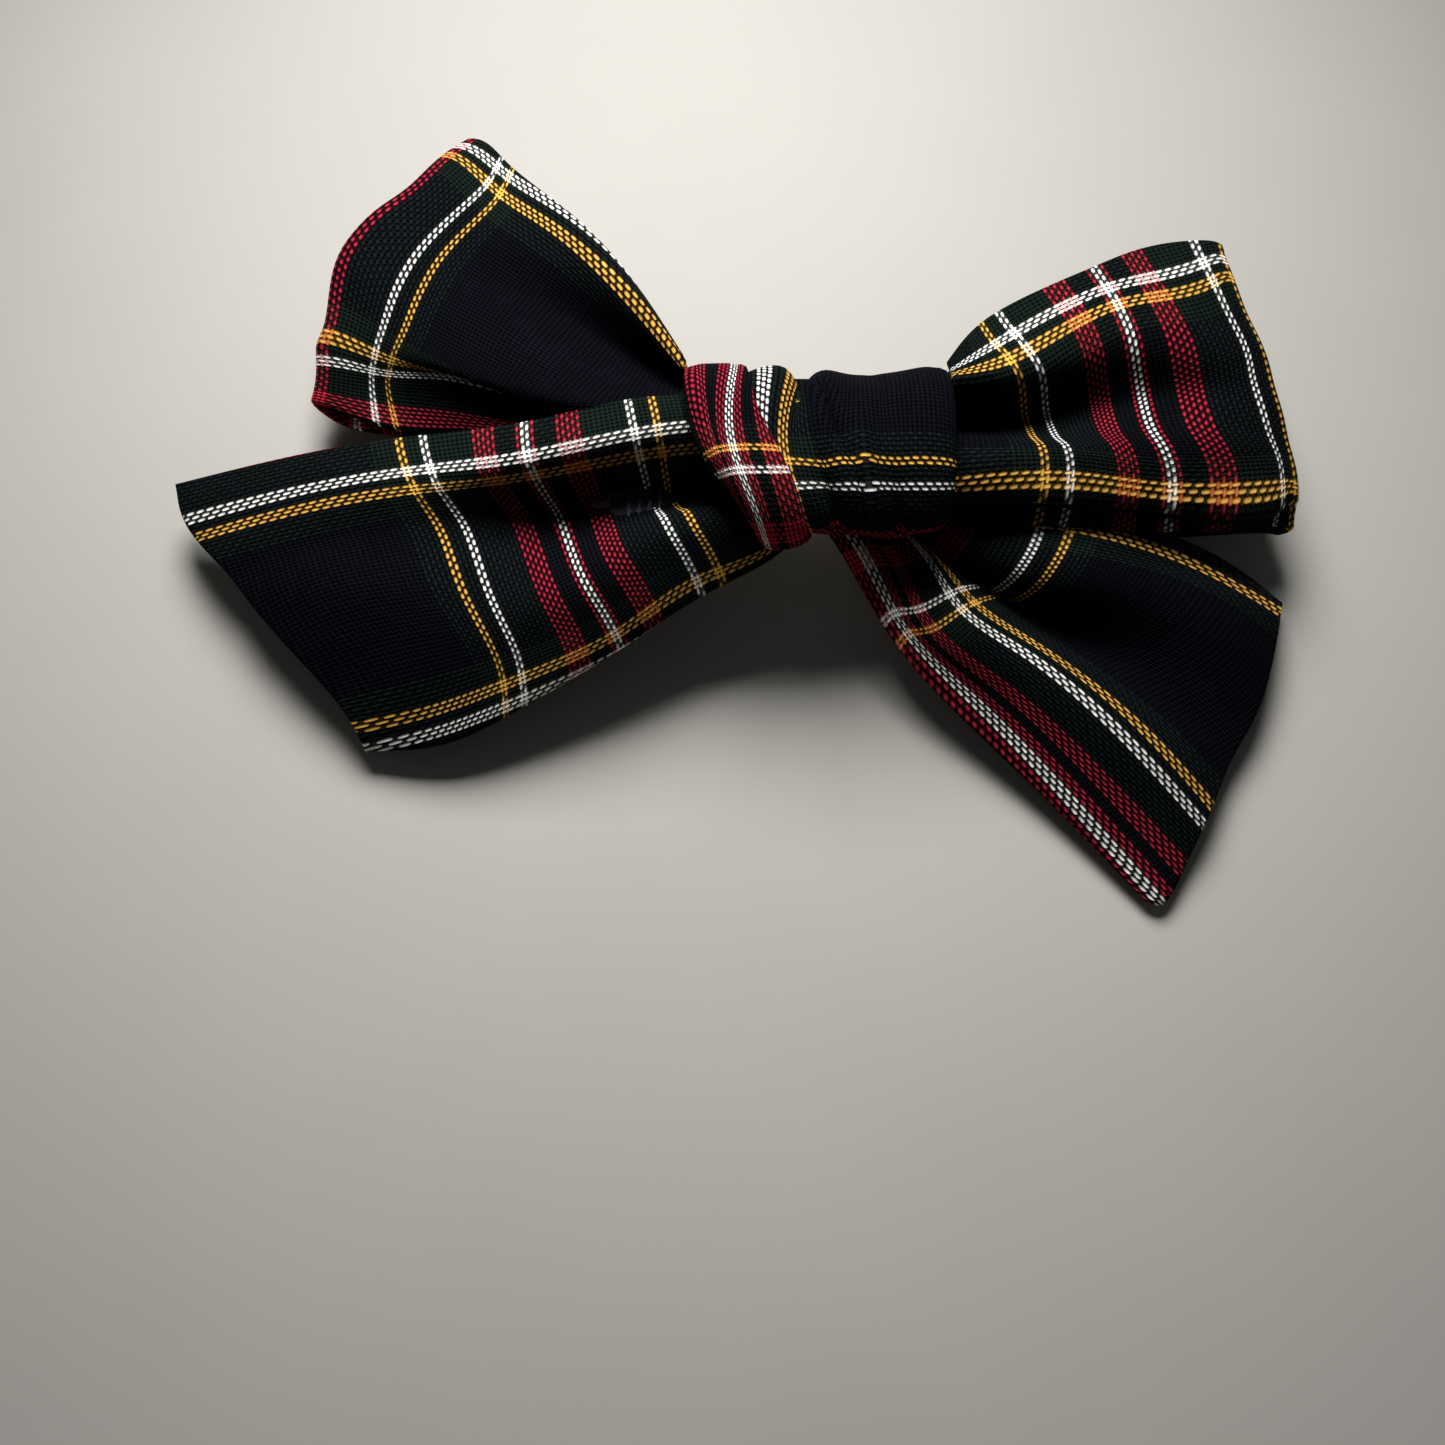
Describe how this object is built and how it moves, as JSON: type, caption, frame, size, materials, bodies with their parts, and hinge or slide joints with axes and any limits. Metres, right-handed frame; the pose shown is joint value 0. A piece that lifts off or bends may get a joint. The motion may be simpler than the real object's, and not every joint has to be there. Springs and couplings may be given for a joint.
{
  "type": "hair bow",
  "caption": "Hand-tied tartan hair bow with looped ends and slanted tails, glued to a felt pad on a sprung clasp barrette.",
  "frame": {"origin": "under the middle of the bow's bounding box, on the surface it lies on", "axes": "+X along the barrette from its hinge to its catch, +Y towards the loops' upper edges, +Z away from the head"},
  "size_m": [0.1116, 0.0835, 0.0202],
  "materials": {
    "tartan_cotton": "matte",
    "hot_glue": "satin",
    "felt": "matte",
    "thread": "satin",
    "plate_steel": "satin",
    "spring_steel": "satin",
    "rivet_steel": "gloss"
  },
  "bodies": {
    "bow": {"left_loop": "tartan_cotton", "right_loop": "tartan_cotton", "left_tail": "tartan_cotton", "right_tail": "tartan_cotton", "knot_band": "tartan_cotton", "knot_core": "tartan_cotton", "glue_layer": "hot_glue", "felt_pad": "felt", "sewing_thread": "thread", "top_plate": "plate_steel", "hinge_bracket": "plate_steel", "hinge_pin": "rivet_steel", "hinge_rivet": "rivet_steel", "leaf_spring": "spring_steel", "catch_base": "plate_steel", "catch_rivet": "rivet_steel"},
    "clasp": {"clasp_arm": "plate_steel"},
    "front_catch": {"front_prong": "spring_steel"},
    "rear_catch": {"rear_prong": "spring_steel"}
  },
  "joints": [
    {"name": "clasp_hinge", "type": "hinge", "parent": "bow", "child": "clasp", "pos_m": [-0.0195, 0.0005, 0.00135], "axis": [0, 1, 0], "range_deg": [0, 75]},
    {"name": "front_prong_pinch", "type": "hinge", "parent": "bow", "child": "front_catch", "pos_m": [0.0345, -0.0016, 0.0056], "axis": [1, 0, 0], "range_deg": [0, 8], "stiffness_Nm_per_rad": 0.02},
    {"name": "rear_prong_pinch", "type": "hinge", "parent": "bow", "child": "rear_catch", "pos_m": [0.0345, 0.0026, 0.0056], "axis": [-1, 0, 0], "range_deg": [0, 8], "stiffness_Nm_per_rad": 0.02}
  ],
  "couplings": [
    {"joint": "rear_prong_pinch", "follows": "front_prong_pinch", "ratio": 1}
  ]
}
